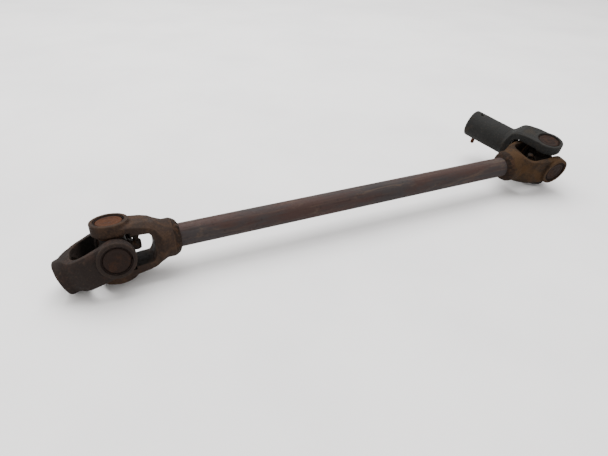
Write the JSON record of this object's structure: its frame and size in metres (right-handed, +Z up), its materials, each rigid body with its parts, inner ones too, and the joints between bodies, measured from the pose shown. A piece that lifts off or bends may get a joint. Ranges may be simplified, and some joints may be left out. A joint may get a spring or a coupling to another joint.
{
  "type": "universal joint shaft",
  "caption": "Drive shaft: a steel tube with a forged cross joint welded on each end, one outer yoke on a short hub and one on a long pinned hub.",
  "frame": {"origin": "under the middle of the bounding box, on the surface the shaft lies on", "axes": "+X along the tube from the short hub's end to the long hub's end, +Z up"},
  "size_m": [0.6512, 0.1444, 0.0762],
  "materials": {
    "tube_steel": "dark brown scale",
    "left_forging": "rusted forging",
    "right_forging": "orange-brown rust on a forging",
    "left_end_forging": "dark brown scale on a forging",
    "right_end_forging": "blue-grey scale on a forging",
    "weld_metal": "rusted weld",
    "cross_steel": "dark, greasy",
    "fitting_steel": "dulled",
    "cup_steel": "brown rust",
    "ring_steel": "dark spring steel",
    "roller_steel": "ground and greased",
    "seal_rubber": "dull",
    "pin_steel": "red-brown rust"
  },
  "bodies": {
    "shaft": {"shaft_tube": "tube_steel", "left_shaft_yoke": "left_forging", "right_shaft_yoke": "right_forging", "left_weld_bead": "weld_metal", "right_weld_bead": "weld_metal", "left_upper_cup": "cup_steel", "left_upper_snap_ring": "ring_steel", "left_upper_needles": "roller_steel", "left_upper_seal": "seal_rubber", "left_lower_cup": "cup_steel", "left_lower_snap_ring": "ring_steel", "left_lower_needles": "roller_steel", "left_lower_seal": "seal_rubber", "right_front_cup": "cup_steel", "right_front_snap_ring": "ring_steel", "right_front_needles": "roller_steel", "right_front_seal": "seal_rubber", "right_rear_cup": "cup_steel", "right_rear_snap_ring": "ring_steel", "right_rear_needles": "roller_steel", "right_rear_seal": "seal_rubber"},
    "cross_left": {"left_cross": "cross_steel", "left_grease_fitting": "fitting_steel"},
    "cross_right": {"right_cross": "cross_steel", "right_grease_fitting": "fitting_steel"},
    "end_yoke_left": {"left_outer_yoke": "left_end_forging", "left_front_cup": "cup_steel", "left_front_snap_ring": "ring_steel", "left_front_needles": "roller_steel", "left_front_seal": "seal_rubber", "left_rear_cup": "cup_steel", "left_rear_snap_ring": "ring_steel", "left_rear_needles": "roller_steel", "left_rear_seal": "seal_rubber"},
    "end_yoke_right": {"right_outer_yoke": "right_end_forging", "hub_pin": "pin_steel", "right_upper_cup": "cup_steel", "right_upper_snap_ring": "ring_steel", "right_upper_needles": "roller_steel", "right_upper_seal": "seal_rubber", "right_lower_cup": "cup_steel", "right_lower_snap_ring": "ring_steel", "right_lower_needles": "roller_steel", "right_lower_seal": "seal_rubber"}
  },
  "joints": [
    {"name": "left_cross_swing", "type": "hinge", "parent": "shaft", "child": "cross_left", "pos_m": [-0.26546, -0.03758, 0.03747], "axis": [0, 0.1908, 0.9816], "range_deg": [-17, 17]},
    {"name": "left_yoke_bend", "type": "hinge", "parent": "cross_left", "child": "end_yoke_left", "pos_m": [-0.26546, -0.03758, 0.03747], "axis": [0, 0.9816, -0.1908], "range_deg": [-9.5, 50.5]},
    {"name": "right_cross_swing", "type": "hinge", "parent": "shaft", "child": "cross_right", "pos_m": [0.30654, -0.03758, 0.03747], "axis": [0, 0.9816, 0.1908], "range_deg": [-3, 3]},
    {"name": "right_yoke_fold", "type": "hinge", "parent": "cross_right", "child": "end_yoke_right", "pos_m": [0.30654, -0.03758, 0.03747], "axis": [0, -0.1908, 0.9816], "range_deg": [-187, 0]}
  ]
}
